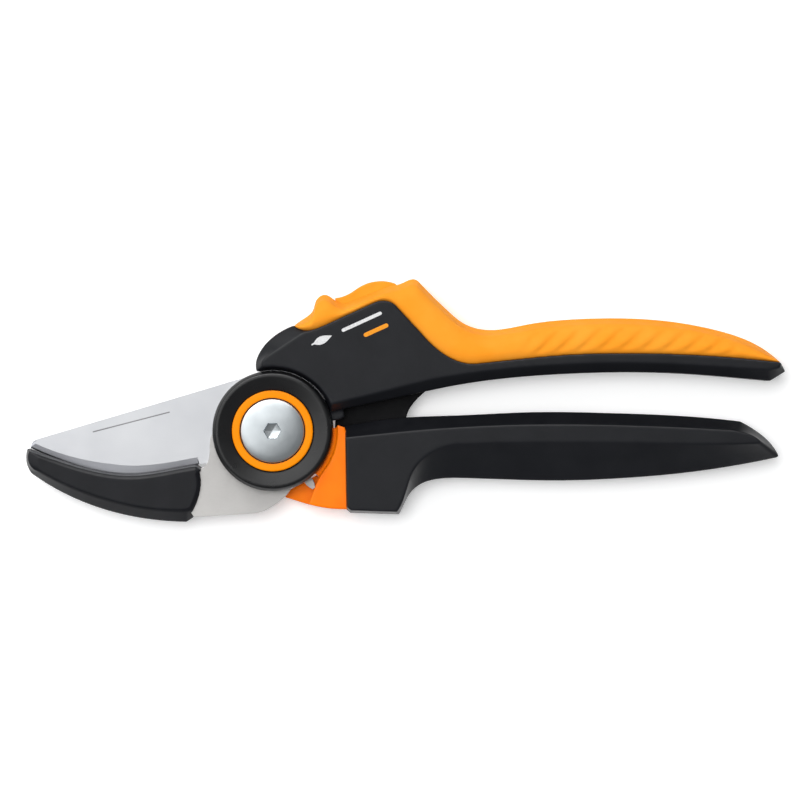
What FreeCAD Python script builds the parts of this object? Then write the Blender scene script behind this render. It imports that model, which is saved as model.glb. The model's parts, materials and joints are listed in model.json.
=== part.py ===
import FreeCAD, Part
import math
import os

# Geared pruning shears lying flat on their back: handles towards +X, jaws towards -X, face up.
# The origin is on the hub axis, at the plane the shears rest on. All sizes are in millimetres.

# ---- driving dimensions ----
MID_Z = 9.5               # height of the blade's mid-plane above the rest plane
SHELL_HALF = 9.5          # half thickness of both handles
BLADE_HALF = 1.4          # half thickness of the blade
BEVEL_FOOT = 1.05         # the same where the wide shallow bevel meets the narrow cutting bevel
EDGE_HALF = 0.15          # the same at the land along the cutting edge
CUTTING_BEVEL = 0.35      # width of the cutting bevel
ARM_BOTTOM, ARM_TOP = 1.55, 4.35      # steel arm layer, above the mid-plane
CHEEK_BOTTOM, CHEEK_TOP = 4.6, 6.6    # orange front cheek layer
RIM_TOP = 5.3             # top of the cheek's low rim, which reaches in under the hub cover
BACK_TOP, BACK_BOTTOM = -1.8, -6.6    # orange back cheek layer
EAR_HALF = 1.3            # half thickness of the pivot ear
EAR_SLOT_HALF = 1.55      # half width of the slot the ear turns in
CORE_HALF = 4.5           # half thickness of the upper core
SPINE_HALF = 4.4          # half thickness of the lower core inside its grip
SEAM_GAP = 0.03           # half gap between a front and a back shell

DISC_RADIUS = 15.8        # hub covers
DISC_CLEARANCE = 0.3
BUSH_RADIUS = 5.5
BOLT_RADIUS = 3.95
RING_INNER, RING_OUTER = 8.5, 10.7
CAP_RADIUS = 8.35

GEAR_MODULE = 1.25
JAW_TEETH, HANDLE_TEETH = 28, 20      # full-circle counts; only a few of each are cut
PRESSURE_ANGLE = math.radians(20)
BACKLASH = 0.16           # taken off each tooth at the pitch circle
PIVOT_ANGLE = -24.2       # direction from the hub to the handle pivot, degrees
JAW_TOOTH_ANGLE = -54.5   # first jaw tooth, degrees from +X
RIM_RADIUS = 15.6         # arm plate rim away from the teeth
TAB_RADIUS = 18.2         # stop tab that the latch catches
TAB_START, TAB_END = 10.0, 18.0
ARM_ROOM_RADIUS = 19.3    # room that the upper front shell leaves for the arm and its tab
CORE_ARC_RADIUS = 16.0    # the upper core's edge round the hub
LOWER_ARC_RADIUS = 17.0   # the lower core's edge round the hub

PIN_RADIUS = 3.0
PIN_HALF = 7.8            # half length of the handle pivot pin
EAR_BUSHING_RADIUS = 4.2
EAR_RADIUS = 6.0
LOCK_TRAVEL = 3.5
LOCK_ANGLE = math.radians(22)
LATCH_BOTTOM, LATCH_TOP = 1.6, 4.0

# ---- derived ----
JAW_PITCH = GEAR_MODULE * JAW_TEETH / 2
HANDLE_PITCH = GEAR_MODULE * HANDLE_TEETH / 2
CENTRES = JAW_PITCH + HANDLE_PITCH
PIVOT = (CENTRES * math.cos(math.radians(PIVOT_ANGLE)), CENTRES * math.sin(math.radians(PIVOT_ANGLE)))
HANDLE_ROOT = HANDLE_PITCH - 1.25 * GEAR_MODULE
LOCK_STEP = (LOCK_TRAVEL * math.cos(LOCK_ANGLE), LOCK_TRAVEL * math.sin(LOCK_ANGLE))


# ---- helpers: heights are given from the mid-plane ----
def point(xy, z=0.0):
    return FreeCAD.Vector(xy[0], xy[1], z + MID_Z)


def polar(radius, degrees, centre=(0.0, 0.0)):
    turn = math.radians(degrees)
    return (centre[0] + radius * math.cos(turn), centre[1] + radius * math.sin(turn))


def shifted(points, dx, dy):
    return [(x + dx, y + dy) for x, y in points]


def wire(z, start, runs):
    """A closed wire. Each run is ("line" | "curve" | "arc", points after the one it starts from)."""
    here = start
    edges = []
    for kind, points in runs:
        if kind == "line":
            for corner in points:
                edges.append(Part.makeLine(point(here, z), point(corner, z)))
                here = corner
            continue
        if kind == "arc":
            edges.append(Part.Arc(point(here, z), point(points[0], z), point(points[1], z)).toShape())
        else:
            curve = Part.BSplineCurve()
            curve.interpolate([point(p, z) for p in [here] + points])
            edges.append(curve.toShape())
        here = points[-1]
    if math.dist(here, start) > 1e-6:
        edges.append(Part.makeLine(point(here, z), point(start, z)))
    return Part.Wire(edges)


def prism(start, runs, bottom, top):
    face = Part.Face(wire(bottom, start, runs))
    return face.extrude(FreeCAD.Vector(0, 0, top - bottom))


def polygon(points, bottom, top):
    return prism(points[0], [("line", points[1:])], bottom, top)


def taper(outer, inner, z_outer, z_inner):
    """A ruled solid from one outline to another that has the same runs."""
    return Part.makeLoft([wire(z_outer, *outer), wire(z_inner, *inner)], True, True)


def cylinder(radius, bottom, top, centre=(0.0, 0.0)):
    return Part.makeCylinder(radius, top - bottom, point(centre, bottom))


def tube(inner, outer, bottom, top, centre=(0.0, 0.0)):
    return cylinder(outer, bottom, top, centre).cut(cylinder(inner, bottom, top, centre))


def sector(radius, start, end, bottom, top, centre=(0.0, 0.0)):
    runs = [("line", [polar(radius, start, centre)]),
            ("arc", [polar(radius, (start + end) / 2, centre), polar(radius, end, centre)])]
    return prism(centre, runs, bottom, top)


def turned(profile):
    """A solid turned about the hub axis from (radius, height) corners."""
    corners = [FreeCAD.Vector(r, 0, z + MID_Z) for r, z in profile]
    face = Part.Face(Part.makePolygon(corners + corners[:1]))
    return face.revolve(FreeCAD.Vector(0, 0, 0), FreeCAD.Vector(0, 0, 1), 360)


def joined(first, *others):
    return first.fuse(list(others)).removeSplitter()


def without(shape, *tools):
    for tool in tools:
        shape = shape.cut(tool)
    return shape


# ---- gear teeth ----
def tooth(centre, pitch, teeth, degrees, bottom, top):
    """One involute tooth, with its middle in the given direction and its root sunk in the rim."""
    base = pitch * math.cos(PRESSURE_ANGLE)
    tip = pitch + 0.9 * GEAR_MODULE
    root = pitch - 1.6 * GEAR_MODULE
    half_pitch = math.degrees((math.pi * pitch / teeth - BACKLASH) / 2 / pitch)
    involute = math.tan(PRESSURE_ANGLE) - PRESSURE_ANGLE

    def half_angle(radius):
        slope = math.acos(min(1.0, base / max(radius, base)))
        return half_pitch + math.degrees(involute - math.tan(slope) + slope)

    steps = 5
    start = max(base, pitch - GEAR_MODULE)
    radii = [start + (tip - start) * i / steps for i in range(steps + 1)]
    left = [polar(r, degrees + half_angle(r), centre) for r in radii]
    right = [polar(r, degrees - half_angle(r), centre) for r in reversed(radii)]
    foot_left = polar(root, degrees + half_angle(start), centre)
    foot_right = polar(root, degrees - half_angle(start), centre)
    runs = [("line", [left[0]]), ("curve", left[1:]), ("line", [right[0]]), ("curve", right[1:]),
            ("line", [foot_right])]
    return prism(foot_left, runs, bottom, top)


# ---- cutting side ----
CUTTING_EDGE = [(-51.9, -9.2), (-43.8, -11.1), (-37.4, -11.6), (-31.7, -11.1), (-25.6, -10.0), (-20.0, -9.0)]
BEVEL_LINE = [(-47.9, -8.0), (-42.5, -8.8), (-37.8, -9.2), (-32.5, -9.0), (-27.7, -8.4), (-20.0, -7.0)]
BLADE_ROOT = 14.0


def blade_runs(edge, nose):
    return [("curve", edge),
            ("line", [(-19.4, -8.75), (-17.4, -8.6), (-13.0, -5.2)]),
            ("arc", [(0.0, -BLADE_ROOT), polar(BLADE_ROOT, 12)]),
            ("line", [(22.5, 10.2), (38.0, 16.0), (36.0, 22.0), (10.0, 22.6), (1.0, 20.0), (-2.4, 17.6)]),
            ("line", [(-3.2, 15.3), (-62.0, -2.2)]),
            ("arc", nose)]


def blade():
    """The blade: on both faces a wide shallow bevel, then a narrow steep one down to the edge."""
    tip = (-64.0, -4.6)
    foot_tip = (-63.8, -4.2)
    face_tip = (-62.6, -3.4)
    edge = (tip, blade_runs(CUTTING_EDGE, [(-63.6, -3.2), tip]))
    foot = (foot_tip, blade_runs(shifted(CUTTING_EDGE, 0, CUTTING_BEVEL), [(-63.4, -3.1), foot_tip]))
    face = (face_tip, blade_runs(BEVEL_LINE, [(-62.5, -2.8), face_tip]))
    body = prism(*edge, -EDGE_HALF, EDGE_HALF)
    for side in (1, -1):
        body = joined(body, taper(edge, foot, side * EDGE_HALF, side * BEVEL_FOOT),
                      taper(foot, face, side * BEVEL_FOOT, side * BLADE_HALF))
    return without(body, cylinder(BUSH_RADIUS, -3, 3), *tool_holes())


def jaw_arm():
    runs = [("curve", [(3.0, -17.5), (0.9, -19.2), (-1.7, -20.8), (-4.4, -21.7)]),
            ("line", [(-20.7, -22.7), (-22.6, -20.2), (-30.0, -19.6), (-30.0, -14.6), (-20.6, -12.8),
                      (-18.9, -9.8), (-18.3, -9.6)]),
            ("curve", [(-17.4, -8.7), (-16.7, -6.4), (-15.6, -0.3)]),
            ("arc", [polar(RIM_RADIUS, 100), polar(RIM_RADIUS, 0)]),
            ("arc", [polar(RIM_RADIUS, -36), polar(RIM_RADIUS, -72)])]
    plate = prism((4.7, -15.4), runs, ARM_BOTTOM, ARM_TOP)
    pitch_angle = 360 / JAW_TEETH
    teeth = [tooth((0, 0), JAW_PITCH, JAW_TEETH, JAW_TOOTH_ANGLE + i * pitch_angle, ARM_BOTTOM, ARM_TOP)
             for i in range(4)]
    tab = sector(TAB_RADIUS, TAB_START, TAB_END, ARM_BOTTOM, ARM_TOP)
    plate = joined(plate, tab, *teeth)
    running_fit = 0.04
    return without(plate, cylinder(BUSH_RADIUS + running_fit, 0, 6), *pad_pin_cylinders())


PAD_HALF = 5.7            # half thickness of the jaw pad at its face
PAD_BROW = 5.2            # the same at the foot of the face's narrow brow chamfer
PAD_SIDE = 2.6            # the same at its square sides
BLADE_REST_GAP = 0.12     # between the cutting edge and the floor of the pad's groove
PAD_LIP = 0.3             # how far the groove's lips stand up past the cutting edge
PAD_GROOVE_HALF = 1.7
PAD_PINS = [(-27.6, -17.2), (-22.8, -18.4)]


def pad_pin_cylinders():
    return [cylinder(1.2, -4.0, 5.0, place) for place in PAD_PINS]


def pad_outline(tip, seat, heel, back, belly, nose):
    return (tip, [("curve", seat), ("line", heel), ("curve", back[:-1]), ("line", back[-1:]),
                  ("curve", belly), ("arc", [nose, tip])])


def jaw_pad(arm):
    """The jaw's moulded pad: the closed blade's edge lies in a shallow groove between two lips."""
    seat = CUTTING_EDGE[:-1] + [(-20.4, -9.1)]
    outer = pad_outline(
        (-64.6, -4.6), shifted(seat, 0, PAD_LIP), [(-18.4, -9.9), (-19.0, -10.6)],
        [(-18.4, -13.3), (-18.6, -15.7), (-19.6, -19.7), (-21.0, -22.8), (-22.8, -24.0)],
        [(-31.7, -23.4), (-43.8, -20.9), (-55.9, -16.0), (-63.6, -11.2)], (-65.0, -7.8))
    brow = pad_outline(
        (-64.0, -5.4), shifted(seat, 0, -0.25), [(-18.9, -10.3), (-19.4, -10.9)],
        [(-19.1, -13.4), (-19.3, -15.6), (-20.2, -18.6), (-21.4, -21.0), (-22.9, -21.3)],
        [(-31.7, -20.9), (-43.8, -18.4), (-54.0, -14.7), (-61.9, -10.6)], (-64.2, -8.2))
    face = pad_outline(
        (-61.4, -7.0), shifted(seat, 0, -1.2), [(-20.0, -11.1), (-20.3, -11.7)],
        [(-19.9, -13.6), (-20.1, -15.6), (-20.9, -18.2), (-21.8, -20.2), (-23.0, -20.6)],
        [(-31.7, -20.3), (-43.8, -17.8), (-52.6, -14.7), (-59.8, -11.2)], (-61.6, -9.3))
    body = prism(*outer, -PAD_SIDE, PAD_SIDE)
    for side in (1, -1):
        body = joined(body, taper(outer, brow, side * PAD_SIDE, side * PAD_BROW),
                      taper(brow, face, side * PAD_BROW, side * PAD_HALF))
    groove = prism((-66.0, -4.6), [("line", [(-64.0, -4.6 - BLADE_REST_GAP)]),
                                   ("curve", shifted(CUTTING_EDGE, 0, -BLADE_REST_GAP)),
                                   ("line", [(-15.0, -9.1), (-15.0, 0.0), (-66.0, 0.0)])],
                   -PAD_GROOVE_HALF, PAD_GROOVE_HALF)
    return without(body, groove, arm, *pad_pin_cylinders())


# ---- upper handle ----
UPPER_SCREWS = [(3.5, 22.0), (36.5, 19.0), (47.5, 16.3)]
BLADE_PINS = [(10.0, 18.8), (33.0, 15.6)]
SCREW_HEAD, SCREW_SHANK = 1.7, 1.1


def screws(places):
    """Countersunk screws driven from the back, as separate solids."""
    made = []
    for place in places:
        head = Part.makeCone(SCREW_HEAD, SCREW_SHANK, 1.4, point(place, -SHELL_HALF + 0.3))
        drive = cylinder(0.7, -SHELL_HALF, -SHELL_HALF + 1.1, place)
        shank = cylinder(SCREW_SHANK, -SHELL_HALF + 1.7, 6.0, place)
        made.append(joined(head, shank).cut(drive))
    return made


def screw_holes(places):
    holes = []
    for place in places:
        holes.append(cylinder(SCREW_SHANK, -SHELL_HALF, 6.0, place))
        holes.append(cylinder(SCREW_HEAD, -SHELL_HALF - 1, -SHELL_HALF + 1.7, place))
    return holes


def blade_pin_cylinders():
    return [cylinder(1.5, -CORE_HALF, 1.45, place) for place in BLADE_PINS]


def tool_holes():
    return blade_pin_cylinders() + [cylinder(SCREW_SHANK, -3, 3, place) for place in UPPER_SCREWS]


GRIP_START = (5.6, 27.7)
GRIP_BORDER = [("curve", [(6.9, 26.7), (8.5, 26.3), (11.0, 26.6), (14.2, 27.9)]),
               ("line", [(26.3, 33.4)]),
               ("curve", [(28.8, 34.1), (30.8, 33.8), (32.4, 32.7)]),
               ("line", [(40.4, 24.0)]),
               ("curve", [(44.5, 20.4), (48.5, 18.3), (53.6, 17.6)]),
               ("curve", [(62.0, 18.5), (77.2, 19.9), (91.8, 20.3), (110.0, 19.9), (133.4, 17.9)])]


def upper_shell_outline(nose, border, tail, bottom, start_angle, end_angle, hub_radius):
    nose_start = polar(hub_radius, start_angle)
    return (nose_start, [("curve", nose)] + border
            + [("line", tail), ("curve", bottom), ("line", [polar(hub_radius, end_angle)]),
               ("arc", [polar(hub_radius, 60), nose_start])])


def upper_shell_solid():
    cut_radius = DISC_RADIUS + DISC_CLEARANCE
    outer = upper_shell_outline(
        [(-4.4, 18.0), (-3.6, 20.3), (-1.2, 23.5), (2.9, 26.5), GRIP_START],
        GRIP_BORDER, [(134.6, 15.6), (130.6, 13.1)],
        [(124.1, 13.7), (108.0, 15.0), (91.8, 15.4), (75.6, 14.9), (60.3, 13.7), (41.8, 10.7)],
        105, 18.5, cut_radius)
    face_border = [("curve", [(9.2, 26.0), (10.0, 26.25), (11.0, 26.6), (14.2, 27.9)])] + GRIP_BORDER[1:]
    face = upper_shell_outline(
        [(-2.7, 18.2), (-1.8, 19.2), (1.5, 21.3), (5.0, 23.6), (8.4, 25.8)],
        face_border, [(132.8, 16.6), (130.0, 16.0)],
        [(124.1, 16.4), (108.0, 17.4), (91.8, 17.9), (75.6, 17.4), (60.3, 16.2), (41.8, 13.5)],
        98, 24.5, cut_radius + 0.8)
    side = 7.0
    return joined(prism(*outer, SEAM_GAP, side), taper(outer, face, side, SHELL_HALF))


def latch_guard():
    """A low ledge of the front shell that covers the arm's stop tab."""
    ledge = sector(ARM_ROOM_RADIUS, 9.5, 30, CHEEK_BOTTOM, 6.2)
    cheek_path = 18.1
    return without(ledge, cylinder(15.6, 0, 9), cylinder(cheek_path, 0, 9, PIVOT))


def upper_core():
    hub_side = [("arc", [polar(CORE_ARC_RADIUS, 76), polar(CORE_ARC_RADIUS, 48)]),
                ("line", [polar(19.5, 46)]),
                ("arc", [polar(19.5, 34), polar(19.5, 24)])]
    runs = hub_side + [("line", [(40.0, 12.2)]),
                       ("curve", [(60.3, 15.2), (91.8, 17.2), (122.0, 15.9)]),
                       ("line", [(124.0, 18.0)]),
                       ("curve", [(116.0, 22.4), (91.0, 25.2), (67.0, 23.6), (53.0, 23.0), (45.0, 27.5)]),
                       ("line", [(38.0, 33.6), (34.5, 34.4), (18.6, 28.0), (11.0, 24.8), (4.0, 24.2)]),
                       ("line", [(-1.6, 19.4)])]
    body = prism(polar(CORE_ARC_RADIUS, 104), runs, -CORE_HALF, CORE_HALF)
    ear = prism((18.6, 7.6), [("line", [(16.4, 3.8), (16.2, -0.6), (20.8, -3.0), (24.0, -7.3), (30.6, -7.2),
                                        (35.1, 3.6)]),
                              ("curve", [(35.8, 5.5), (37.7, 8.1), (40.3, 10.5)]),
                              ("line", [(42.0, 12.6)])], -EAR_HALF, EAR_HALF)
    body = joined(body, ear, cylinder(EAR_RADIUS, -EAR_HALF, EAR_HALF, PIVOT))
    return body


def latch_outline():
    """The latch at rest, which is the unlocked place; locked is LOCK_STEP nearer the hub."""
    locked = [(15.35, 5.6), (18.4, 6.5), (22.5, 12.0), (27.4, 30.4), (27.4, 33.6), (22.4, 32.0),
              (22.4, 29.6), (17.5, 12.0), (15.2, 8.0)]
    return shifted(locked, *LOCK_STEP)


def latch_passage():
    """Room for the latch over its whole travel, in steps short enough to leave no ridges."""
    steps = 8
    room = None
    for i in range(steps + 1):
        back = -i / steps
        moved = shifted(latch_outline(), LOCK_STEP[0] * back, LOCK_STEP[1] * back)
        face = Part.Face(Part.makePolygon([point(p, 1.5) for p in moved + moved[:1]]))
        grown = face.makeOffset2D(0.25)
        solid = grown.extrude(FreeCAD.Vector(0, 0, 3.1))
        room = solid if room is None else room.fuse(solid)
    return room.removeSplitter()


def lock_detent():
    """A ball on its small spring post, under the slider."""
    place = (27.0, 29.9)
    height = -2.4
    return Part.makeSphere(0.9, point(place, height)).fuse(cylinder(0.5, -4.2, height, place))


SLIDER_HALF = 4.2


def lock_slider(latch):
    thumb_ramp = [(17.5, 35.2), (19.6, 36.0), (22.6, 37.9), (25.3, 39.0), (28.5, 39.4), (32.2, 38.7)]
    body = prism((16.0, 30.2), [("line", [(15.9, 34.9)]), ("curve", thumb_ramp), ("line", [(33.3, 37.2)])],
                 -SLIDER_HALF, SLIDER_HALF)
    return body.cut(latch)


def slider_slot():
    left, right, floor, sky = 12.5, 34.3, 28.46, 45.0
    rise = (right - left) * math.tan(LOCK_ANGLE)
    half_width = SLIDER_HALF + 0.3
    return polygon([(left, floor), (right, floor + rise), (right, sky), (left, sky)], -half_width, half_width)


GRIP_TOP = [("curve", [(8.2, 29.5), (10.6, 31.7), (11.4, 34.3), (13.8, 35.8), (15.4, 35.0), (19.9, 33.7)]),
            ("line", [(31.6, 38.4)]),
            ("curve", [(34.4, 39.0), (36.8, 39.9), (38.6, 38.9)]),
            ("line", [(42.5, 34.9)]),
            ("curve", [(46.5, 31.1), (51.0, 27.8), (57.0, 26.5), (67.1, 28.0), (77.2, 29.2), (88.0, 29.6),
                       (103.0, 28.9), (116.0, 26.6), (126.0, 23.2), (133.4, 17.9)])]
GRIP_HALF = 9.2


def reversed_border():
    corners = [GRIP_START]
    kinds = []
    for kind, points in GRIP_BORDER:
        kinds.append((kind, [corners[-1]] + points))
        corners.append(points[-1])
    back = []
    for kind, points in reversed(kinds):
        back.append((kind, list(reversed(points))[1:]))
    return back


def soft_grip(core, shells):
    lowered = []
    for kind, points in GRIP_TOP:
        lowered.append((kind, [(x, y - 1.6) for x, y in points]))
    last_kind, last_points = lowered[-1]
    lowered[-1] = (last_kind, last_points[:-1] + [(133.4, 17.9)])
    outer = (GRIP_START, GRIP_TOP + reversed_border())
    face = (GRIP_START, lowered + reversed_border())
    side = 6.2
    body = joined(prism(*outer, -side, side),
                  taper(outer, face, side, GRIP_HALF),
                  taper(outer, face, -side, -GRIP_HALF))
    return without(body, core, slider_slot(), latch_passage(), *shells)


# ---- lower handle ----
LOWER_SCREWS = [(54.0, -1.2), (84.0, -0.8), (113.0, -1.6)]


def lower_shell_solid():
    top_left = (18.8, 1.2)
    outer = (top_left, [
        ("curve", [(27.0, 2.6), (35.0, 3.5), (47.7, 4.0), (67.8, 4.9), (87.8, 4.7), (112.0, 3.6),
                   (122.9, 2.5)]),
        ("curve", [(128.6, -1.1), (131.4, -3.9), (133.0, -6.5)]),
        ("line", [(132.6, -7.0)]),
        ("curve", [(120.1, -9.4), (108.0, -11.1), (90.0, -12.6), (75.4, -13.1), (57.8, -12.7),
                   (47.7, -12.4)]),
        ("curve", [(42.6, -12.8), (39.1, -13.9), (36.5, -15.9), (34.5, -19.2), (33.2, -22.0)]),
        ("line", [(20.4, -21.6), (19.0, -20.4)])])
    face = ((19.2, -1.8), [
        ("curve", [(27.0, -1.0), (35.0, -0.2), (47.7, 0.8), (67.8, 1.6), (87.8, 1.5), (112.0, 0.6),
                   (121.0, 0.1)]),
        ("curve", [(124.1, -0.6), (126.2, -1.4), (127.8, -2.6)]),
        ("line", [(127.4, -3.2)]),
        ("curve", [(118.0, -3.4), (106.0, -3.3), (90.0, -3.0), (75.4, -2.9), (62.0, -3.0), (50.2, -3.4)]),
        ("curve", [(43.6, -4.6), (39.6, -7.1), (37.0, -10.3), (35.0, -16.0), (32.6, -21.2)]),
        ("line", [(20.6, -20.8), (19.6, -20.0)])])
    side = 4.6
    body = joined(prism(*outer, SEAM_GAP, side), taper(outer, face, side, SHELL_HALF))
    return without(body, ear_room())


def ear_room():
    return joined(cylinder(EAR_RADIUS + 0.4, -EAR_SLOT_HALF, EAR_SLOT_HALF, PIVOT),
                  sector(27.0, 52, 160, -EAR_SLOT_HALF, EAR_SLOT_HALF, PIVOT))


def lower_core():
    hub_arc = ("arc", [polar(LOWER_ARC_RADIUS, -17), polar(LOWER_ARC_RADIUS, -40)])
    visible = ((16.9, 1.6), [hub_arc,
                             ("curve", [(11.7, -13.3), (10.7, -15.8), (9.4, -19.3)]),
                             ("curve", [(14.1, -20.3), (20.5, -20.6)]),
                             ("line", [(30.0, -20.0), (32.0, -9.0), (32.0, -1.4), (19.5, -1.0),
                                       (18.9, 0.9)])])
    front = prism(*visible, CHEEK_BOTTOM, CHEEK_TOP)
    rim = sector(18.0, -45, 3, CHEEK_BOTTOM, RIM_TOP).cut(cylinder(15.4, 0, 9))
    back = prism((17.3, 4.0), [("line", [(16.9, 1.6)]),
                               hub_arc,
                               ("line", [(8.4, -13.4), (3.2, -16.2), (3.0, -17.6), (9.1, -19.5)]),
                               ("curve", [(14.1, -20.3), (20.5, -20.6)]),
                               ("line", [(30.0, -20.0), (32.0, -9.0), (32.0, 0.0), (19.2, 0.9),
                                         (19.3, 4.0)])],
                 BACK_BOTTOM, BACK_TOP)
    shoulder = polygon([(0.0, -20.2), (32.4, -20.2), (33.6, -17.6), (35.2, -15.2), (38.2, -12.8),
                        (40.0, -12.2), (40.0, 6.0), (0.0, 6.0)], BACK_BOTTOM, CHEEK_TOP)
    hub = cylinder(HANDLE_ROOT, ARM_BOTTOM, CHEEK_BOTTOM, PIVOT).common(shoulder)
    jaw_offset = JAW_TOOTH_ANGLE + 2 * 360 / JAW_TEETH - PIVOT_ANGLE
    gap_angle = PIVOT_ANGLE + 180 - jaw_offset * JAW_TEETH / HANDLE_TEETH
    half_tooth = 180 / HANDLE_TEETH
    teeth = [tooth(PIVOT, HANDLE_PITCH, HANDLE_TEETH, gap_angle + half_tooth * (2 * i - 1),
                   ARM_BOTTOM, CHEEK_BOTTOM) for i in range(4)]
    bridge = sector(10.9, 176, 350, BACK_TOP, ARM_BOTTOM, PIVOT)
    bridge = bridge.cut(cylinder(EAR_RADIUS + 0.5, BACK_TOP - 1, ARM_BOTTOM + 1, PIVOT)).common(shoulder)
    spine = polygon([(28.0, -9.0), (44.0, -8.4), (100.0, -7.4), (122.0, -4.6), (122.0, -1.6), (100.0, 0.6),
                     (44.0, 0.6), (28.0, 0.2)], -SPINE_HALF, SPINE_HALF)
    body = joined(front, rim, back, hub, *teeth, bridge, spine)
    return without(body, ear_room(), cylinder(PIN_RADIUS, -8, 8, PIVOT), spring_pocket())


def spring_pocket():
    return tube(PIN_RADIUS, 6.0, -6.4, BACK_TOP + 0.1, PIVOT)


def return_spring():
    """A coil around the pivot, made of half turns that each climb half a pitch."""
    wire_radius, coil_radius, pitch, half_turns = 0.55, 4.5, 1.3, 5
    bottom = -5.8
    tilt = math.asin(pitch / 4 / coil_radius)
    up = FreeCAD.Vector(0, 0, 1)
    middle = FreeCAD.Vector(0, 0, 0)
    turns = []
    for i in range(half_turns):
        half = Part.makeTorus(coil_radius, wire_radius, middle, up, -180, 180, 180)
        half.rotate(middle, FreeCAD.Vector(0, 1, 0), math.degrees(tilt))
        half.rotate(middle, up, 180 * (i % 2))
        half.translate(point(PIVOT, bottom + (i + 0.5) * pitch / 2))
        turns.append(half)
    for i in range(half_turns + 1):
        side = coil_radius * math.cos(tilt) * (-1) ** i
        turns.append(Part.makeSphere(wire_radius, point((PIVOT[0] + side, PIVOT[1]), bottom + i * pitch / 2)))
    return joined(*turns)


# ---- hub ----
def hub_front_cover():
    return turned([(BOLT_RADIUS, 4.95), (11.0, 4.95), (11.0, 6.9), (DISC_RADIUS, 6.9), (DISC_RADIUS, 8.4),
                   (14.8, 9.4), (14.0, 9.4), (11.2, 8.9), (RING_OUTER, 8.9), (RING_OUTER, 8.2),
                   (BOLT_RADIUS, 8.2)])


def hub_back_cover(nut):
    disc = turned([(BOLT_RADIUS, -1.95), (5.0, -1.95), (5.0, -6.85), (DISC_RADIUS, -6.85),
                   (DISC_RADIUS, -8.7), (15.0, -SHELL_HALF), (RING_OUTER, -SHELL_HALF), (RING_OUTER, -8.4),
                   (RING_INNER, -8.4), (RING_INNER, -SHELL_HALF), (BOLT_RADIUS, -SHELL_HALF)])
    support = sector(15.0, 105, 250, -6.85, -1.95)
    body = joined(disc, support)
    return without(body, cylinder(BOLT_RADIUS, -12, 0), nut)


def accent_ring(bottom, top):
    return tube(RING_INNER, RING_OUTER, bottom, top)


def hexagon(radius, bottom, top):
    return polygon([polar(radius, 60 * i) for i in range(6)], bottom, top)


def pivot_bolt():
    cap = turned([(0, 8.2), (CAP_RADIUS, 8.2), (CAP_RADIUS, 9.3), (7.6, 9.9), (5.0, 10.3), (0, 10.5)])
    return joined(cap, cylinder(BOLT_RADIUS, -SHELL_HALF, 8.4)).cut(hexagon(2.4, 8.7, 11))


def pivot_nut():
    return hexagon(6.8, -SHELL_HALF, -6.9).cut(cylinder(BOLT_RADIUS, -12, 0))


def mirrored(shape):
    return shape.mirror(FreeCAD.Vector(0, 0, MID_Z), FreeCAD.Vector(0, 0, 1))


# ---- put together ----
def nodes():
    arm = jaw_arm()
    core_lower = lower_core()
    latch = polygon(latch_outline(), LATCH_BOTTOM, LATCH_TOP)
    knife = blade()
    passage = latch_passage()
    detent = lock_detent()
    upper_fixings = [knife, detent] + screw_holes(UPPER_SCREWS) + blade_pin_cylinders()
    core_upper = without(upper_core(), passage, slider_slot(), cylinder(EAR_BUSHING_RADIUS, -3, 3, PIVOT),
                         *upper_fixings)
    arm_room = cylinder(ARM_ROOM_RADIUS, SEAM_GAP, CHEEK_BOTTOM)
    upper_front = without(upper_shell_solid(), core_upper, passage, arm_room, *upper_fixings)
    upper_front = joined(upper_front, without(latch_guard(), core_upper, passage))
    upper_back = without(mirrored(upper_shell_solid()), core_upper, *upper_fixings)
    lower_tools = [core_lower, spring_pocket(), cylinder(PIN_RADIUS, -PIN_HALF, PIN_HALF, PIVOT)]
    lower_tools += screw_holes(LOWER_SCREWS)
    nut = pivot_nut()
    return {
        "blade": knife,
        "blade_pins": Part.makeCompound(blade_pin_cylinders()),
        "upper_core": core_upper,
        "upper_front_shell": upper_front,
        "upper_back_shell": upper_back,
        "upper_soft_grip": soft_grip(core_upper, [upper_front, upper_back]),
        "upper_shell_screws": Part.makeCompound(screws(UPPER_SCREWS)),
        "hub_front_cover": hub_front_cover(),
        "hub_back_cover": hub_back_cover(nut),
        "front_accent_ring": accent_ring(8.2, 9.3),
        "back_accent_ring": accent_ring(-SHELL_HALF + 0.1, -8.4),
        "pivot_bolt": pivot_bolt(),
        "pivot_nut": nut,
        "pivot_bush": tube(BOLT_RADIUS, BUSH_RADIUS, -BLADE_HALF, ARM_TOP),
        "hub_washers": Part.makeCompound([tube(BOLT_RADIUS, 8.0, 4.4, 4.9),
                                          tube(BOLT_RADIUS, 4.9, -1.9, -1.45)]),
        "ear_bushing": tube(PIN_RADIUS + 0.05, EAR_BUSHING_RADIUS, -EAR_HALF, EAR_HALF, PIVOT),
        "lock_detent": detent,
        "jaw_arm": arm,
        "jaw_pad": jaw_pad(arm),
        "jaw_pad_pins": Part.makeCompound(pad_pin_cylinders()),
        "lower_core": without(core_lower, *screw_holes(LOWER_SCREWS)),
        "lower_front_shell": without(lower_shell_solid(), *lower_tools),
        "lower_back_shell": without(mirrored(lower_shell_solid()), *lower_tools),
        "lower_shell_screws": Part.makeCompound(screws(LOWER_SCREWS)),
        "handle_pivot_pin": cylinder(PIN_RADIUS, -PIN_HALF, PIN_HALF, PIVOT),
        "return_spring": return_spring(),
        "lock_slider": lock_slider(latch),
        "lock_latch": latch,
    }


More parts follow.
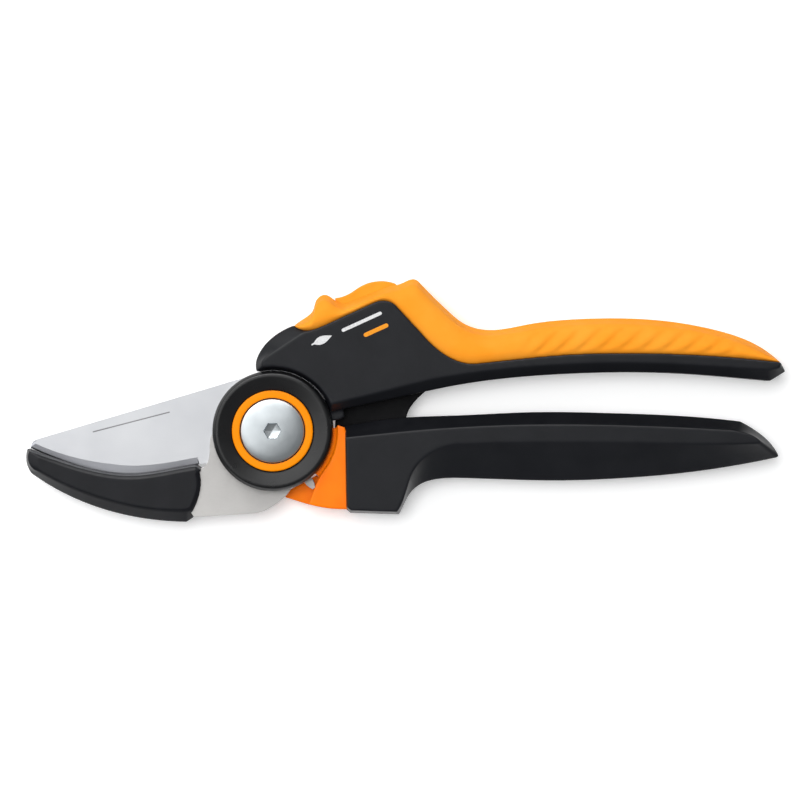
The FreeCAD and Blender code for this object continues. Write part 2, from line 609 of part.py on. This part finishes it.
os.makedirs("parts", exist_ok=True)
for name, shape in nodes().items():
    box = shape.BoundBox
    print(f"{name:20s} solids {len(shape.Solids)} valid {shape.isValid()} volume {shape.Volume:9.2f} "
          f"x {box.XMin:.1f}..{box.XMax:.1f} y {box.YMin:.1f}..{box.YMax:.1f} "
          f"z {box.ZMin:.2f}..{box.ZMax:.2f}")
    shape.exportStep(f"parts/{name}.step")
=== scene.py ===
import json
import math
import bmesh
import bpy
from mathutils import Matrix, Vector


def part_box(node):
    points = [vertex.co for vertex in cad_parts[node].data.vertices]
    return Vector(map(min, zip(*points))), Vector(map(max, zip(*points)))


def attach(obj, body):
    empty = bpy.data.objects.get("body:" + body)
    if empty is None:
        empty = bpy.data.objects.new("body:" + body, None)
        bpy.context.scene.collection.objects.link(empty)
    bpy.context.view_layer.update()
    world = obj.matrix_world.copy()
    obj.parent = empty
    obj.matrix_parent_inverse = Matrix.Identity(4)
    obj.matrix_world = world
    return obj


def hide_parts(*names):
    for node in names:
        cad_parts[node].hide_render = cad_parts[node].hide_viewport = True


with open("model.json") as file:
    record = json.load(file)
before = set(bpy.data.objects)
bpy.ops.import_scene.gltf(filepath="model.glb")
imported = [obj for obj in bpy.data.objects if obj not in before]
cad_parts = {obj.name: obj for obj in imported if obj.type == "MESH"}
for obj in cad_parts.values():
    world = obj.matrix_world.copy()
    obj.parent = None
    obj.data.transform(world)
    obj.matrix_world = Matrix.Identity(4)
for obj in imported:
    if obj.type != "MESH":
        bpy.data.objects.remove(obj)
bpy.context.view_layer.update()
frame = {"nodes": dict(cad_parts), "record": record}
nodes = frame["nodes"]
MM = 0.001


# ---------------------------------------------------------------- the object's own places, from the frame
def middle(node):
    low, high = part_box(node)
    return (low + high) / 2


HUB = middle("pivot_bolt")
MID_Z = middle("blade").z
GRIP_LOW, GRIP_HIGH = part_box("upper_soft_grip")
SHELL_FACE_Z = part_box("upper_front_shell")[1].z
BLADE_FACE_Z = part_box("blade")[1].z


# ---------------------------------------------------------------- node-based materials
NOISE_LOW, NOISE_HIGH = 0.3, 0.7        # most of a noise texture's values lie between these


class Surface:
    """A principled material whose colour, roughness and relief come from nodes."""

    def __init__(self, name, metallic=0.0, specular=0.5):
        self.material = bpy.data.materials.new(name)
        self.material.use_nodes = True
        self.tree = self.material.node_tree
        self.shader = self.tree.nodes["Principled BSDF"]
        self.shader.inputs["Metallic"].default_value = metallic
        self.shader.inputs["Specular IOR Level"].default_value = specular
        self.place = self.tree.nodes.new("ShaderNodeTexCoord").outputs["Object"]

    def node(self, kind, **values):
        """A new node; each value goes to the input of that name, or else to the node's own setting."""
        made = self.tree.nodes.new(kind)
        for key, value in values.items():
            if key in made.inputs:
                made.inputs[key].default_value = value
            else:
                setattr(made, key, value)
        return made

    def link(self, output, target):
        self.tree.links.new(output, target)

    def stretched(self, scale, turn=0.0):
        """Object coordinates, turned about Z and scaled by axis."""
        mapping = self.node("ShaderNodeMapping", Rotation=(0, 0, turn), Scale=scale)
        self.link(self.place, mapping.inputs["Vector"])
        return mapping.outputs["Vector"]

    def noise(self, size, detail=3.0, place=None):
        """Noise whose features are about size metres wide."""
        made = self.node("ShaderNodeTexNoise", Scale=1.0 / size, Detail=detail)
        self.link(place or self.place, made.inputs["Vector"])
        return made.outputs["Fac"]

    def ramp(self, factor, low, high):
        """Noise turned into colours between low and high."""
        made = self.tree.nodes.new("ShaderNodeValToRGB")
        for element, position, tone in zip(made.color_ramp.elements, (NOISE_LOW, NOISE_HIGH), (low, high)):
            element.position = position
            element.color = (*tone, 1)
        self.link(factor, made.inputs["Fac"])
        return made.outputs["Color"]

    def span(self, factor, low, high):
        """Noise turned into numbers between low and high."""
        made = self.node("ShaderNodeMapRange", **{"From Min": NOISE_LOW, "From Max": NOISE_HIGH,
                                                  "To Min": low, "To Max": high})
        self.link(factor, made.inputs["Value"])
        return made.outputs["Result"]

    def colour(self, output):
        self.link(output, self.shader.inputs["Base Color"])

    def roughness(self, output):
        self.link(output, self.shader.inputs["Roughness"])

    def relief(self, height, depth):
        bump = self.node("ShaderNodeBump", Distance=depth, Strength=1.0)
        self.link(height, bump.inputs["Height"])
        self.link(bump.outputs["Normal"], self.shader.inputs["Normal"])


def moulded(name, dark, light, rough, grain, depth, specular, drift=9 * MM, gloss=3 * MM):
    """Moulded plastic or rubber: faint colour drift, uneven gloss and a fine spark-eroded grain."""
    made = Surface(name, specular=specular)
    made.colour(made.ramp(made.noise(drift), dark, light))
    made.roughness(made.span(made.noise(gloss), *rough))
    made.relief(made.noise(grain, detail=2.0), depth)
    return made.material


def brushed(name, dark, light, rough, along, across, turn, depth):
    """Steel with grinding lines: noise drawn out along one direction."""
    patch = 14 * MM
    made = Surface(name, metallic=1.0)
    drawn_out = made.stretched((1 / along, 1 / across, 1 / across), turn)
    lines = made.noise(1.0, detail=4.0, place=drawn_out)
    made.colour(made.ramp(made.noise(patch, detail=2.0), dark, light))
    made.roughness(made.span(lines, *rough))
    made.relief(lines, depth)
    return made.material


def turned_steel(name, dark, light, rough, ring, depth):
    """Steel faced on a lathe: fine rings about the hub axis."""
    patch = 5 * MM
    made = Surface(name, metallic=1.0)
    radius = made.node("ShaderNodeVectorMath", operation="LENGTH")
    made.link(made.stretched((1, 1, 0)), radius.inputs[0])
    rings = made.node("ShaderNodeTexNoise", noise_dimensions="1D", Scale=1.0 / ring, Detail=3.0)
    made.link(radius.outputs["Value"], rings.inputs["W"])
    made.colour(made.ramp(made.noise(patch, detail=2.0), dark, light))
    made.roughness(made.span(rings.outputs["Fac"], *rough))
    made.relief(rings.outputs["Fac"], depth)
    return made.material


def printed(name, tone, faded):
    """Pad-printed ink, thin in places."""
    speck, gloss = 0.5 * MM, 1 * MM
    made = Surface(name, specular=0.3)
    made.colour(made.ramp(made.noise(speck), faded, tone))
    made.roughness(made.span(made.noise(gloss), 0.45, 0.6))
    return made.material


MATERIALS = {
    "black_shell": moulded(
        "grained_black", dark=(0.0062, 0.0068, 0.0090), light=(0.0088, 0.0095, 0.0120),
        rough=(0.36, 0.46), grain=0.14 * MM, depth=0.012 * MM, specular=0.30),
    "black_core": moulded(
        "core_black", dark=(0.003, 0.003, 0.0035), light=(0.005, 0.005, 0.0055),
        rough=(0.5, 0.62), grain=0.2 * MM, depth=0.01 * MM, specular=0.15),
    "black_jaw": moulded(
        "jaw_black", dark=(0.0060, 0.0065, 0.0085), light=(0.0085, 0.0090, 0.0115),
        rough=(0.32, 0.42), grain=0.2 * MM, depth=0.008 * MM, specular=0.26),
    "hub_black": moulded(
        "hub_black", dark=(0.0045, 0.0046, 0.0052), light=(0.0065, 0.0066, 0.0072),
        rough=(0.26, 0.34), grain=0.16 * MM, depth=0.008 * MM, specular=0.5),
    "orange_core": moulded(
        "core_orange", dark=(0.95, 0.170, 0.003), light=(1.0, 0.225, 0.004),
        rough=(0.28, 0.38), grain=0.5 * MM, depth=0.006 * MM, specular=0.18),
    "orange_ring": moulded(
        "ring_orange", dark=(1.0, 0.265, 0.001), light=(1.0, 0.295, 0.002),
        rough=(0.30, 0.40), grain=0.4 * MM, depth=0.005 * MM, specular=0.12),
    "orange_slider": moulded(
        "slider_orange", dark=(0.96, 0.29, 0.006), light=(1.0, 0.35, 0.010),
        rough=(0.40, 0.5), grain=0.2 * MM, depth=0.010 * MM, specular=0.3),
    "soft_orange": moulded(
        "soft_rubber_orange", dark=(1.0, 0.335, 0.020), light=(1.0, 0.380, 0.036),
        rough=(0.5, 0.64), grain=0.16 * MM, depth=0.010 * MM, specular=0.06, drift=12 * MM, gloss=2 * MM),
    "blade_steel": brushed(
        "blade_ground", dark=(0.67, 0.68, 0.705), light=(0.74, 0.75, 0.77), rough=(0.30, 0.42),
        along=9 * MM, across=0.10 * MM, turn=math.radians(-75), depth=0.0022 * MM),
    "arm_steel": brushed(
        "arm_rolled", dark=(0.60, 0.585, 0.57), light=(0.68, 0.665, 0.645), rough=(0.38, 0.52),
        along=0.7 * MM, across=0.4 * MM, turn=0.3, depth=0.004 * MM),
    "fixing_steel": brushed(
        "fixing_plated", dark=(0.42, 0.42, 0.43), light=(0.52, 0.52, 0.53), rough=(0.25, 0.4),
        along=1 * MM, across=0.3 * MM, turn=0.0, depth=0.003 * MM),
    "bush_brass": brushed(
        "bush_turned", dark=(0.62, 0.44, 0.18), light=(0.72, 0.54, 0.25), rough=(0.25, 0.4),
        along=1 * MM, across=0.2 * MM, turn=0.0, depth=0.003 * MM),
    "cap_steel": turned_steel(
        "cap_turned", dark=(0.56, 0.60, 0.62), light=(0.66, 0.70, 0.72), rough=(0.28, 0.42),
        ring=0.09 * MM, depth=0.003 * MM),
}
CUTTING_BEVEL = brushed(
    "bevel_ground", dark=(0.62, 0.63, 0.67), light=(0.68, 0.69, 0.73), rough=(0.48, 0.6),
    along=0.12 * MM, across=5 * MM, turn=math.radians(8), depth=0.003 * MM)
ETCHED = brushed(
    "blade_etched", dark=(0.30, 0.30, 0.31), light=(0.38, 0.38, 0.39), rough=(0.6, 0.7),
    along=1 * MM, across=1 * MM, turn=0.0, depth=0.004 * MM)
WHITE_INK = printed("white_ink", tone=(0.80, 0.80, 0.80), faded=(0.62, 0.62, 0.63))
ORANGE_INK = printed("orange_ink", tone=(0.98, 0.36, 0.015), faded=(0.80, 0.27, 0.012))


# ---------------------------------------------------------------- pieces
body_of = {n: b for b, group in frame["record"]["behaviour"]["bodies"].items() for n in group}
slot_of = {row["node"]: row["material_slot"] for row in frame["record"]["subparts"]}
replaced = set()


def finish_piece(piece, node):
    """The piece takes the node's finish and body."""
    replaced.add(node)
    piece.data.materials.clear()
    piece.data.materials.append(MATERIALS[slot_of[node]])
    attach(piece, body_of[node])


def linked(name, mesh):
    piece = bpy.data.objects.new(name, mesh)
    bpy.context.scene.collection.objects.link(piece)
    return piece


def built(name, shape):
    """A new piece from a finished bmesh, its faces turned outward."""
    bmesh.ops.recalc_face_normals(shape, faces=shape.faces)
    mesh = bpy.data.meshes.new(name)
    shape.to_mesh(mesh)
    shape.free()
    return linked(name, mesh)


def applied(piece):
    """The piece with its modifiers made real."""
    graph = bpy.context.evaluated_depsgraph_get()
    mesh = bpy.data.meshes.new_from_object(piece.evaluated_get(graph))
    piece.modifiers.clear()
    piece.data = mesh


def copied(node, name):
    """The node's shape as a new welded mesh."""
    mesh = nodes[node].data.copy()
    shape = bmesh.new()
    shape.from_mesh(mesh)
    bmesh.ops.remove_doubles(shape, verts=shape.verts, dist=1e-6)
    shape.to_mesh(mesh)
    shape.free()
    return linked(name, mesh)


def smoothed(piece, name, passes):
    smooth = piece.modifiers.new(name, "SMOOTH")
    smooth.factor = 0.5
    smooth.iterations = passes


def softened(node, name, voxel, passes, keep=0.5, shape_more=None, last_passes=0):
    """A moulded skin in the node's place: even mesh, rounded edges, then lighter where it is flat."""
    piece = copied(node, name)
    remesh = piece.modifiers.new("even", "REMESH")
    remesh.mode = "VOXEL"
    remesh.voxel_size = voxel
    smoothed(piece, "round", passes)
    applied(piece)
    if shape_more:
        shape_more(piece.data)
    if last_passes:
        smoothed(piece, "blend", last_passes)
    thin = piece.modifiers.new("thin", "DECIMATE")
    thin.ratio = keep
    applied(piece)
    piece.data.shade_smooth()
    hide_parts(node)
    finish_piece(piece, node)


def edged(node, name, width, shape_more=None):
    """The node's shape with every sharp edge broken by a small bevel."""
    flat_within, sharp_from = math.radians(0.5), math.radians(18)
    piece = copied(node, name)
    flat = piece.modifiers.new("flat", "DECIMATE")
    flat.decimate_type = "DISSOLVE"
    flat.angle_limit = flat_within
    bevel = piece.modifiers.new("edge", "BEVEL")
    bevel.width = width
    bevel.segments = 3
    bevel.limit_method = "ANGLE"
    bevel.angle_limit = sharp_from
    bevel.harden_normals = True
    applied(piece)
    piece.data.shade_smooth()
    if shape_more:
        shape_more(piece.data)
    weighted = piece.modifiers.new("weights", "WEIGHTED_NORMAL")
    weighted.keep_sharp = True
    applied(piece)
    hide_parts(node)
    finish_piece(piece, node)
    return piece


def turned(name, node, profile):
    """A round piece about the hub axis from a closed profile of (radius, height) points in metres."""
    shape = bmesh.new()
    ring = [shape.verts.new((HUB.x + r, HUB.y, z)) for r, z in profile]
    edges = [shape.edges.new((a, b)) for a, b in zip(ring, ring[1:])]
    edges.append(shape.edges.new((ring[-1], ring[0])))
    bmesh.ops.spin(shape, geom=ring + edges, cent=(HUB.x, HUB.y, 0), axis=(0, 0, 1),
                   angle=2 * math.pi, steps=160, use_merge=True)
    bmesh.ops.remove_doubles(shape, verts=shape.verts, dist=1e-7)
    piece = built(name, shape)
    piece.data.shade_smooth()
    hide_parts(node)
    finish_piece(piece, node)


def rounded(corners, radius):
    """The corners of a closed profile, each replaced by a short arc."""
    steps, side_share = 4, 0.4
    points = []
    count = len(corners)
    for i, corner in enumerate(corners):
        here = Vector(corner)
        before, after = Vector(corners[i - 1]), Vector(corners[(i + 1) % count])
        back, ahead = before - here, after - here
        reach = min(radius, side_share * back.length, side_share * ahead.length)
        start, end = here + back.normalized() * reach, here + ahead.normalized() * reach
        for k in range(steps + 1):
            t = k / steps
            points.append(tuple(start * (1 - t) ** 2 + here * 2 * t * (1 - t) + end * t ** 2))
    return points


def eased(value):
    """0 to 1 with a soft start and end."""
    value = min(1.0, max(0.0, value))
    return value * value * (3 - 2 * value)


# ---------------------------------------------------------------- the soft grip and the slider, shaped further
def grip_bands(mesh, step):
    """For each slice along the handle, the lowest and highest point of the grip."""
    bands = {}
    for vertex in mesh.vertices:
        key = round(vertex.co.x / step)
        low, high = bands.get(key, (1.0, -1.0))
        bands[key] = (min(low, vertex.co.y), max(high, vertex.co.y))
    return bands


def band_at(bands, position):
    """The grip's lowest and highest point at a position along it, between two slices."""
    left = math.floor(position)
    share = position - left
    before = bands.get(left, bands.get(left + 1))
    after = bands.get(left + 1, before)
    return [a + (b - a) * share for a, b in zip(before, after)]


def ridge_press(x, up, across):
    """How far the slanted ridges press into the grip's side; across runs from 0 to 1 up the side."""
    pitch, depth, lean = 5.6 * MM, 0.5 * MM, 1.05
    first, last, fade = 63 * MM, 125 * MM, 8 * MM
    curl_rise, curl_middle = 2.2 * MM, 0.45
    falling = 0.62                                  # share of the pitch that the ridge's long slope takes
    bottom, bottom_fade, top, top_fade = 0.06, 0.2, 0.84, 0.24
    curl = curl_rise * (across - curl_middle) ** 2
    phase = (x - first - lean * up + curl) / pitch
    wave = phase - math.floor(phase)
    ridge = 1 - eased(wave / falling) if wave < falling else eased((wave - falling) / (1 - falling))
    along = eased((x - first) / fade) * eased((last - x) / fade)
    within = eased((across - bottom) / bottom_fade) * eased((top - across) / top_fade)
    return depth * ridge * along * within


def crowned_grip(mesh):
    """The soft grip's sides crowned between their edges, with slanted ridges along the palm part."""
    step = 1.0 * MM
    bands = grip_bands(mesh, step)
    half = (GRIP_HIGH.z - GRIP_LOW.z) / 2
    side_start = 0.45 * half
    fullest, fall_low, fall_high = 0.35, 1.5 * MM, 1.3 * MM
    edge_radius, least_round = 5.2 * MM, 0.15
    for vertex in mesh.vertices:
        place = vertex.co
        low, high = band_at(bands, place.x / step)
        across = (place.y - low) / max(high - low, step)
        out = place.z - MID_Z
        side = eased((abs(out) - side_start) / (half - side_start))
        fall = max(0.0, (across - fullest) / (1 - fullest)) ** 2 * fall_high
        fall += max(0.0, (fullest - across) / fullest) ** 2 * fall_low
        press = ridge_press(place.x, place.y - low, across)
        place.z -= math.copysign((fall + press) * side, out)
        inward = min(1.0, (high - place.y) / min(edge_radius, max(high - low, step)))
        roundness = least_round + (1 - least_round) * math.sqrt(max(0.0, 1 - (1 - inward) ** 2))
        proud = abs(place.z - MID_Z) - side_start
        if proud > 0:
            place.z = MID_Z + math.copysign(side_start + proud * roundness, out)


def shortened(mesh):
    """The thumb slider's front end drawn back, so that when locked it stops just short of the grip.

    The gap that is left is far smaller than a mesh cell: a change here or to the grip can close it."""
    start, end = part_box("lock_slider")
    drawn_back = 0.46 * MM
    for vertex in mesh.vertices:
        vertex.co.x += drawn_back * (end.x - vertex.co.x) / (end.x - start.x)


# ---------------------------------------------------------------- moulded pieces: shells, grip, pad, cores
FINE = 0.30 * MM
for half_shell in ("upper_front", "upper_back", "lower_front", "lower_back"):
    softened(half_shell + "_shell", half_shell + "_skin", FINE, 3)
softened("upper_soft_grip", "soft_grip_skin", FINE, 6, shape_more=crowned_grip, last_passes=4)
softened("jaw_pad", "jaw_pad_skin", 0.22 * MM, 3)
softened("lower_core", "lower_core_skin", FINE, 2)
softened("upper_core", "upper_core_skin", FINE, 2, keep=0.3)
softened("lock_slider", "lock_slider_skin", 0.2 * MM, 3, shape_more=shortened)


# ---------------------------------------------------------------- steel: crisp shapes with broken edges
def on_bevel(normal):
    """True on the blade's slightly tilted bevel faces."""
    least_tilt, most_tilt = math.radians(3), math.radians(24)
    return math.cos(most_tilt) < abs(normal.z) < math.cos(least_tilt)


def crisp_bevel(mesh):
    """A crisp line between the blade's faces and their bevels."""
    shape = bmesh.new()
    shape.from_mesh(mesh)
    for edge in shape.edges:
        if len({on_bevel(face.normal) for face in edge.link_faces}) > 1:
            edge.smooth = False
    shape.to_mesh(mesh)
    shape.free()


blade_piece = edged("blade", "blade_ground", 0.12 * MM, shape_more=crisp_bevel)
blade_piece.data.materials.append(CUTTING_BEVEL)
for polygon in blade_piece.data.polygons:
    polygon.material_index = int(on_bevel(polygon.normal))
edged("jaw_arm", "jaw_arm_ground", 0.14 * MM)
edged("lock_latch", "lock_latch_edged", 0.1 * MM)


# ---------------------------------------------------------------- hub: disc, accent ring and bolt head
SHANK = 3.95                                        # radius in mm, of the bolt and of the disc's hole


def hub_profile(points):
    """A rounded profile in metres from (radius, height over the mid-plane) corners in mm."""
    return rounded([(r * MM, MID_Z + z * MM) for r, z in points], 0.45 * MM)


turned("hub_front_disc", "hub_front_cover", hub_profile([
    (SHANK, 4.95), (11.0, 4.95), (11.0, 6.9), (15.8, 6.9), (15.8, 8.3), (15.0, 9.3), (14.3, 9.4),
    (12.4, 8.9), (10.9, 8.5), (10.72, 8.4), (10.7, 8.2), (SHANK, 8.2)]))
turned("front_ring_band", "front_accent_ring", hub_profile([
    (8.62, 8.25), (10.6, 8.25), (10.62, 9.05), (10.3, 9.28), (8.9, 9.28), (8.62, 9.05)]))


def hub_ring(shape, radius_at, height, steps):
    """One ring of points about the hub axis; radius_at gives the radius for an angle, all in mm."""
    ring = []
    for i in range(steps):
        angle = 2 * math.pi * i / steps
        radius = radius_at(angle) * MM
        ring.append(shape.verts.new((HUB.x + radius * math.cos(angle), HUB.y + radius * math.sin(angle),
                                     MID_Z + height * MM)))
    return ring


def hexagon_radius(corner):
    """A function giving a hexagon's radius for an angle, from the radius of its corners."""
    sixth = math.pi / 3
    return lambda angle: corner * math.cos(sixth / 2) / math.cos(angle % sixth - sixth / 2)


def steel_cap():
    """The domed bolt head: a turned skin with a hexagonal socket, on its shank."""
    steps = 96
    dome = [(SHANK, -9.5), (SHANK, 8.25), (8.3, 8.25), (8.32, 9.4), (8.2, 9.65), (7.6, 9.87), (6.4, 10.08),
            (5.2, 10.22), (4.0, 10.32), (3.0, 10.38)]
    socket = [(2.4, 10.39), (2.25, 10.2), (2.2, 9.3)]
    drill_radius, drill_height = 0.3, 8.75
    shape = bmesh.new()
    rings = [hub_ring(shape, lambda angle, r=r: r, z, steps) for r, z in dome]
    rings += [hub_ring(shape, hexagon_radius(r), z, steps) for r, z in socket]
    rings.append(hub_ring(shape, lambda angle: drill_radius, drill_height, steps))
    for lower, upper in zip(rings, rings[1:]):
        for i in range(steps):
            following = (i + 1) % steps
            shape.faces.new((lower[i], lower[following], upper[following], upper[i]))
    shape.faces.new(list(reversed(rings[0])))
    shape.faces.new(rings[-1])
    piece = built("pivot_cap", shape)
    piece.data.shade_smooth()
    piece.data.set_sharp_from_angle(angle=math.radians(28))
    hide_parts("pivot_bolt")
    finish_piece(piece, "pivot_bolt")


steel_cap()


# ---------------------------------------------------------------- plain marks in place of the lettering
def ink(name, outline, centre, turn, material, face_z=SHELL_FACE_Z, thick=0.06 * MM):
    """A thin printed or etched shape on a flat face of the upper body, from its outline in mm."""
    top = face_z + thick / 3
    shape = bmesh.new()
    points = []
    for x, y in outline:
        across = math.cos(turn) * x - math.sin(turn) * y
        up = math.sin(turn) * x + math.cos(turn) * y
        points.append(shape.verts.new(((centre[0] + across) * MM, (centre[1] + up) * MM, top - thick)))
    raised = bmesh.ops.extrude_face_region(shape, geom=[shape.faces.new(points)])
    bmesh.ops.translate(shape, verts=[v for v in raised["geom"] if isinstance(v, bmesh.types.BMVert)],
                        vec=(0, 0, thick))
    piece = built(name, shape)
    piece.data.materials.append(material)
    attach(piece, "upper_handle")


def bar(length, width):
    """A plain bar with round ends."""
    steps = 8
    points = []
    for end, start in ((1, -math.pi / 2), (-1, math.pi / 2)):
        for i in range(steps + 1):
            angle = start + math.pi * i / steps
            points.append((end * (length - width) / 2 + math.cos(angle) * width / 2,
                           math.sin(angle) * width / 2))
    return points


def leaf(length, width):
    """A plain pointed leaf with a short stalk."""
    steps, fullness = 12, 0.8
    stalk_length, stalk_half = 0.12 * length, 0.18
    foot = -length / 2
    side = [(length * i / steps - length / 2, width / 2 * math.sin(math.pi * (i / steps) ** fullness))
            for i in range(1, steps)]
    tip = [(length / 2, 0.0)]
    back = [(x, -y) for x, y in reversed(side)]
    stalk = [(foot, -stalk_half), (foot - stalk_length, -stalk_half), (foot - stalk_length, stalk_half),
             (foot, stalk_half)]
    return side + tip + back + stalk


PRINT_TURN = math.radians(24.5)
ETCHING_TURN = math.radians(14.5)
ink("leaf_print", leaf(5.2, 2.1), (13.2, 23.9), PRINT_TURN, WHITE_INK)
ink("white_line_print", bar(11.5, 0.9), (23.4, 28.6), PRINT_TURN, WHITE_INK)
ink("etched_line", bar(21.0, 0.32), (-37.4, 2.3), ETCHING_TURN, ETCHED,
    face_z=BLADE_FACE_Z, thick=0.03 * MM)
ink("orange_line_print", bar(7.0, 1.1), (27.15, 26.4), PRINT_TURN, ORANGE_INK)

# the rest keep their CAD shape and take a finish
for name, node in nodes.items():
    if name not in replaced:
        node.data.materials.clear()
        node.data.materials.append(MATERIALS[slot_of[name]])


# ---------------------------------------------------------------- floor, light and camera
AIM = Vector((0.03, 0.0, 0.0))
VIEW_CENTRE, VIEW_WIDTH, CAMERA_HEIGHT = (0.03343, 0.0081), 0.2111, 1.3
SENSOR_WIDTH = 36


def floor():
    """A large pale floor just under the object, with a faint glow of its own."""
    size, drop, glow = 2.5, 0.4 * MM, 0.28
    mesh = bpy.data.meshes.new("floor")
    corners = [(-size, -size, 0), (size, -size, 0), (size, size, 0), (-size, size, 0)]
    mesh.from_pydata(corners, [], [(0, 1, 2, 3)])
    piece = linked("floor", mesh)
    made = Surface("pale_floor", specular=0.2)
    made.colour(made.ramp(made.noise(0.3), (0.93, 0.93, 0.93), (0.96, 0.96, 0.96)))
    made.shader.inputs["Roughness"].default_value = 0.8
    made.shader.inputs["Emission Color"].default_value = (1, 1, 1, 1)
    made.shader.inputs["Emission Strength"].default_value = glow
    mesh.materials.append(made.material)
    piece.location.z = -drop


def soft_light(name, place, size, radiance, glossy=True, diffuse=True):
    """A rectangular softbox aimed at the object, by its radiance."""
    data = bpy.data.lights.new(name, "AREA")
    data.shape = "RECTANGLE"
    data.size, data.size_y = size
    data.energy = radiance * math.pi * size[0] * size[1]
    piece = linked(name, data)
    piece.location = place
    piece.rotation_euler = (AIM - Vector(place)).to_track_quat("-Z", "Y").to_euler()
    piece.visible_glossy = glossy
    piece.visible_diffuse = diffuse


def camera():
    """Straight above the object, through a long lens."""
    data = bpy.data.cameras.new("camera")
    data.sensor_width = SENSOR_WIDTH
    data.lens = SENSOR_WIDTH * (CAMERA_HEIGHT - MID_Z) / VIEW_WIDTH
    piece = linked("camera", data)
    piece.location = (*VIEW_CENTRE, CAMERA_HEIGHT)
    bpy.context.scene.camera = piece


def studio_world():
    """Faint, slightly cool light from all around."""
    world = bpy.data.worlds.new("studio")
    world.use_nodes = True
    background = world.node_tree.nodes["Background"]
    background.inputs["Color"].default_value = (0.96, 0.98, 1.0, 1)
    background.inputs["Strength"].default_value = 0.2
    bpy.context.scene.world = world


floor()
soft_light("overhead", place=(-0.10, 0.12, 1.6), size=(0.55, 0.55), radiance=14.5, glossy=False)
soft_light("softbox", place=(-0.64, 0.50, 1.45), size=(1.9, 1.9), radiance=1.3)
soft_light("upper_left", place=(-0.75, 0.65, 0.85), size=(0.5, 0.5), radiance=2.4)
soft_light("top_strip", place=(-0.05, 1.15, 1.0), size=(1.5, 0.4), radiance=7.0, diffuse=False)
studio_world()
bpy.context.scene.view_settings.view_transform = "Standard"
camera()
